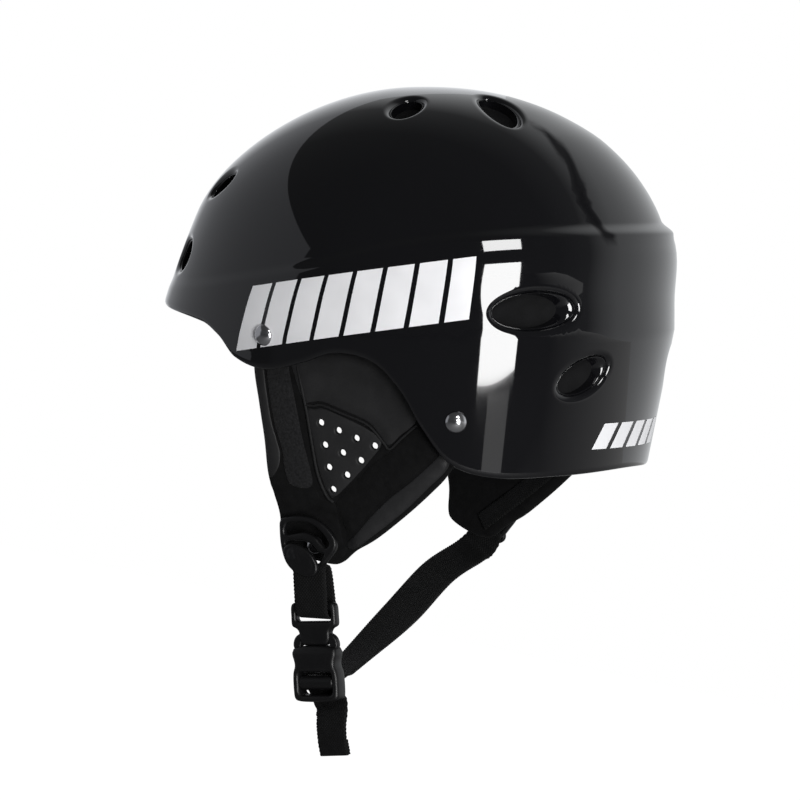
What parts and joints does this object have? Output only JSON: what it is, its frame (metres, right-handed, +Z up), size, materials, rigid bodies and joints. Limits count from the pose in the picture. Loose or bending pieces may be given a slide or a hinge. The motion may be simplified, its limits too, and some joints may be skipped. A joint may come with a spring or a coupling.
{
  "type": "water helmet",
  "caption": "Hard-shell water sports helmet with a foam liner, comfort pads, soft ear pads and a buckled chin strap.",
  "frame": {"origin": "centre of the flat underside of the crown pad, where the top of the head touches", "axes": "+Z up, -Y to the front of the helmet, +X to the wearer's left, the side of the buckle"},
  "size_m": [0.213, 0.2542, 0.3088],
  "materials": {
    "shell": "high gloss black moulded shell",
    "liner_foam": "matt black closed-cell foam",
    "comfort_foam": "black brushed jersey over soft foam",
    "ear_pad_foam": "black laminated foam, smooth and textured panels",
    "webbing": "black woven polyester webbing",
    "buckle_plastic": "satin black moulded nylon",
    "rivet_metal": "polished plated metal"
  },
  "bodies": {
    "helmet": {"outer_shell": "shell", "eva_liner": "liner_foam", "crown_pad": "comfort_foam", "brow_pad": "comfort_foam", "nape_pad": "comfort_foam", "side_pad_left": "comfort_foam", "side_pad_right": "comfort_foam", "rivet_front_left": "rivet_metal", "rivet_washer_front_left": "rivet_metal", "strap_anchor_front_left": "webbing", "rivet_front_right": "rivet_metal", "rivet_washer_front_right": "rivet_metal", "strap_anchor_front_right": "webbing", "rivet_rear_left": "rivet_metal", "rivet_washer_rear_left": "rivet_metal", "strap_anchor_rear_left": "webbing", "rivet_rear_right": "rivet_metal", "rivet_washer_rear_right": "rivet_metal", "strap_anchor_rear_right": "webbing", "ear_pad_top_left": "ear_pad_foam", "ear_pad_top_right": "ear_pad_foam"},
    "ear_flap_left": {"ear_pad_left": "ear_pad_foam", "ear_panel_left": "ear_pad_foam", "front_strap_left": "webbing", "rear_strap_left": "webbing"},
    "ear_flap_right": {"ear_pad_right": "ear_pad_foam", "ear_panel_right": "ear_pad_foam", "front_strap_right": "webbing", "rear_strap_right": "webbing"},
    "ring_pivot_left": {"ring_stud_left": "rivet_metal"},
    "ring_pivot_right": {"ring_stud_right": "rivet_metal"},
    "ring_right": {"strap_ring_right": "buckle_plastic", "ring_badge_right": "buckle_plastic"},
    "chin_strap": {"strap_ring_left": "buckle_plastic", "ring_badge_left": "buckle_plastic", "left_chin_strap": "webbing", "buckle_plug": "buckle_plastic"},
    "prong_front": {"prong_front": "buckle_plastic"},
    "prong_rear": {"prong_rear": "buckle_plastic"},
    "buckle_half": {"buckle_socket": "buckle_plastic", "right_chin_strap": "webbing"},
    "tail": {"strap_tail": "webbing"}
  },
  "joints": [
    {"name": "ear_flap_left_sway", "type": "hinge", "parent": "helmet", "child": "ear_flap_left", "pos_m": [0.0869, 0.0111, -0.1224], "axis": [0, 0.9207, -0.3902], "range_deg": [-7, 7], "stiffness_Nm_per_rad": 1},
    {"name": "ear_flap_right_sway", "type": "hinge", "parent": "helmet", "child": "ear_flap_right", "pos_m": [-0.0869, 0.0111, -0.1224], "axis": [0, 0.9207, -0.3902], "range_deg": [-7, 7], "stiffness_Nm_per_rad": 1},
    {"name": "ring_pivot_left_turn", "type": "hinge", "parent": "ear_flap_left", "child": "ring_pivot_left", "pos_m": [0.0869, -0.0085, -0.183], "axis": [0, 0.9207, -0.3902], "range_deg": [-7, 7]},
    {"name": "ring_pivot_right_turn", "type": "hinge", "parent": "ear_flap_right", "child": "ring_pivot_right", "pos_m": [-0.0869, -0.0085, -0.183], "axis": [0, 0.9207, -0.3902], "range_deg": [-7, 7]},
    {"name": "chin_strap_swing", "type": "hinge", "parent": "ring_pivot_left", "child": "chin_strap", "pos_m": [0.0869, -0.0085, -0.183], "axis": [1, 0, 0], "range_deg": [-30, 35]},
    {"name": "ring_right_swing", "type": "hinge", "parent": "ring_pivot_right", "child": "ring_right", "pos_m": [-0.0869, -0.0085, -0.183], "axis": [1, 0, 0], "range_deg": [-30, 35]},
    {"name": "prong_front_squeeze", "type": "hinge", "parent": "chin_strap", "child": "prong_front", "pos_m": [0.0869, -0.01283, -0.225], "axis": [1, 0, 0], "range_deg": [0, 7], "stiffness_Nm_per_rad": 1},
    {"name": "prong_rear_squeeze", "type": "hinge", "parent": "chin_strap", "child": "prong_rear", "pos_m": [0.0869, 0.00163, -0.22399], "axis": [1, 0, 0], "range_deg": [-7, 0], "stiffness_Nm_per_rad": 1},
    {"name": "buckle_release", "type": "slide", "parent": "chin_strap", "child": "buckle_half", "axis": [0, 0.0698, -0.9976], "range_m": [0, 0.028], "deforming": ["right_chin_strap", "prong_front", "prong_rear"]},
    {"name": "tail_swing", "type": "hinge", "parent": "buckle_half", "child": "tail", "pos_m": [0.0874, -0.00349, -0.25462], "axis": [0, 0.9976, 0.0698], "range_deg": [-30, 45]}
  ],
  "couplings": [
    {"joint": "ear_flap_right_sway", "follows": "ear_flap_left_sway", "ratio": 1},
    {"joint": "ring_pivot_left_turn", "follows": "ear_flap_left_sway", "ratio": -1},
    {"joint": "ring_pivot_right_turn", "follows": "ear_flap_left_sway", "ratio": -1},
    {"joint": "ring_right_swing", "follows": "chin_strap_swing", "ratio": 1}
  ]
}
